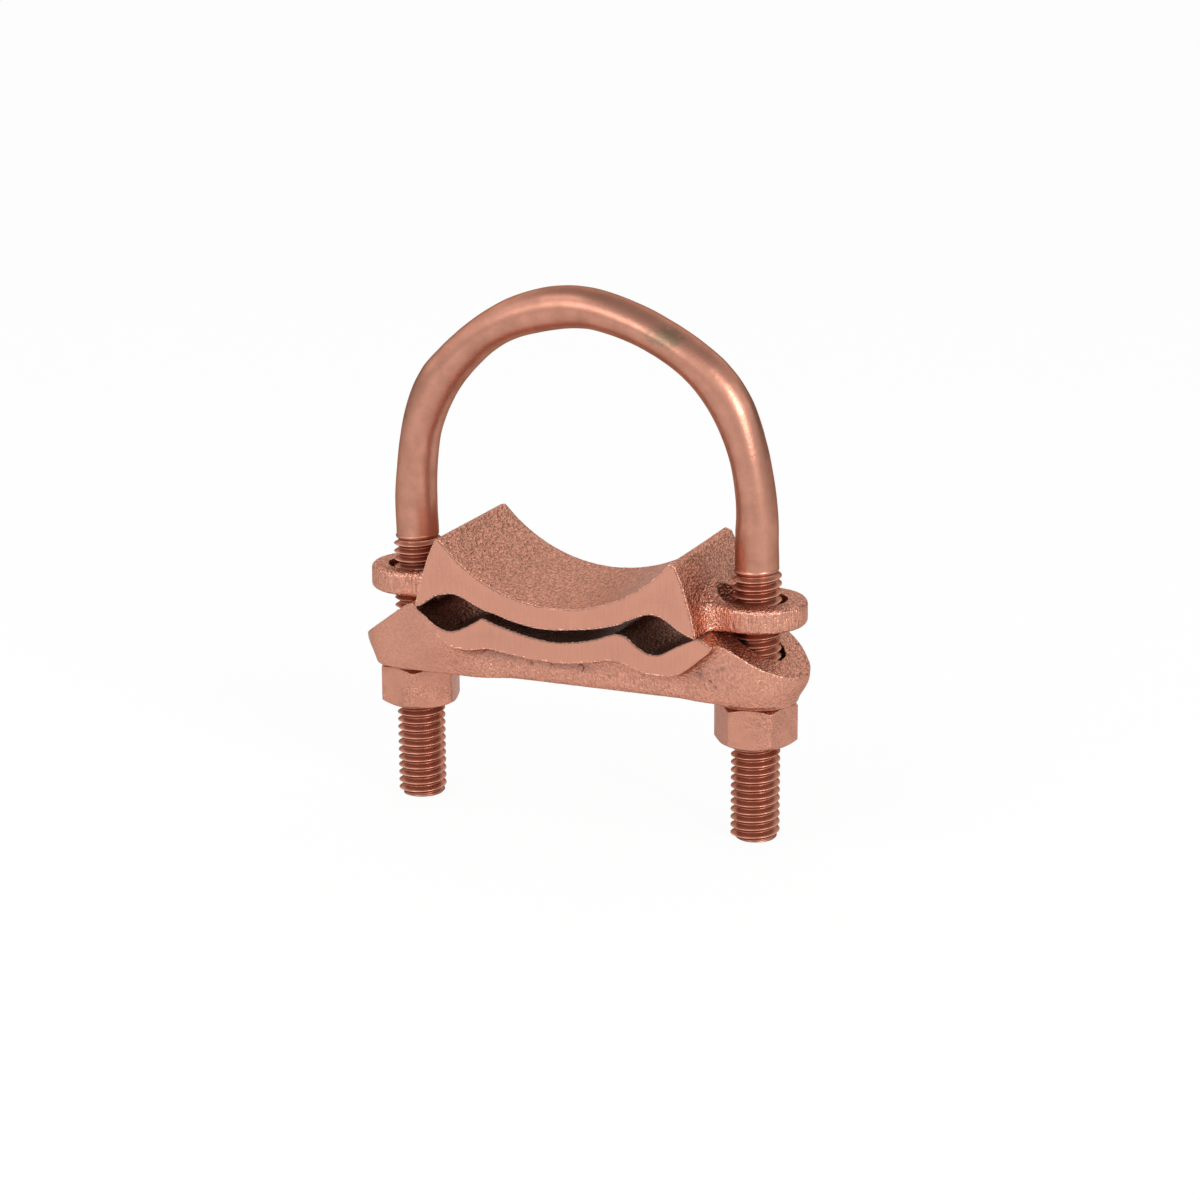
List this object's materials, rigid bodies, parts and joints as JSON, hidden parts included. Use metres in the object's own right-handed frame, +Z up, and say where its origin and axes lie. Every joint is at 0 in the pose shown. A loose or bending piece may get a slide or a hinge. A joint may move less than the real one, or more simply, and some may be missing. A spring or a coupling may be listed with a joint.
{
  "type": "u-bolt pipe grounding clamp",
  "caption": "U-bolt clamp that holds a round pipe on a curved saddle and grips earthing cables in the grooves between the saddle and a keeper bar.",
  "frame": {"origin": "centre of the pipe seat's arc, midway across the saddle's depth", "axes": "+Y along the pipe, +X across the legs of the U-bolt, +Z up towards its crown"},
  "size_m": [0.0922, 0.0304, 0.1052],
  "materials": {
    "rod_copper": "satin copper plating",
    "cast_copper": "sand cast, faces ground flat",
    "nut_copper": "satin copper plating"
  },
  "bodies": {
    "u_bolt": {"u_bolt": "rod_copper"},
    "keeper_bar": {"keeper_bar": "cast_copper"},
    "saddle": {"saddle": "cast_copper"},
    "nut_left": {"nut_left": "nut_copper"},
    "nut_right": {"nut_right": "nut_copper"}
  },
  "joints": [
    {"name": "keeper_slide", "type": "slide", "parent": "u_bolt", "child": "keeper_bar", "axis": [0, 0, 1], "range_m": [-0.018, 0.018]},
    {"name": "saddle_lift", "type": "slide", "parent": "keeper_bar", "child": "saddle", "axis": [0, 0, 1], "range_m": [0, 0.008]},
    {"name": "nut_left_turn", "type": "hinge", "parent": "keeper_bar", "child": "nut_left", "pos_m": [-0.0357, 0, -0.0497], "axis": [0, 0, 1], "range_deg": [-4090, 4090]},
    {"name": "nut_right_turn", "type": "hinge", "parent": "keeper_bar", "child": "nut_right", "pos_m": [0.0357, 0, -0.0497], "axis": [0, 0, 1], "range_deg": [-4090, 4090]}
  ],
  "couplings": [
    {"joint": "nut_left_turn", "follows": "keeper_slide", "rad_per_m": 3957.9},
    {"joint": "nut_right_turn", "follows": "keeper_slide", "rad_per_m": 3957.9}
  ]
}
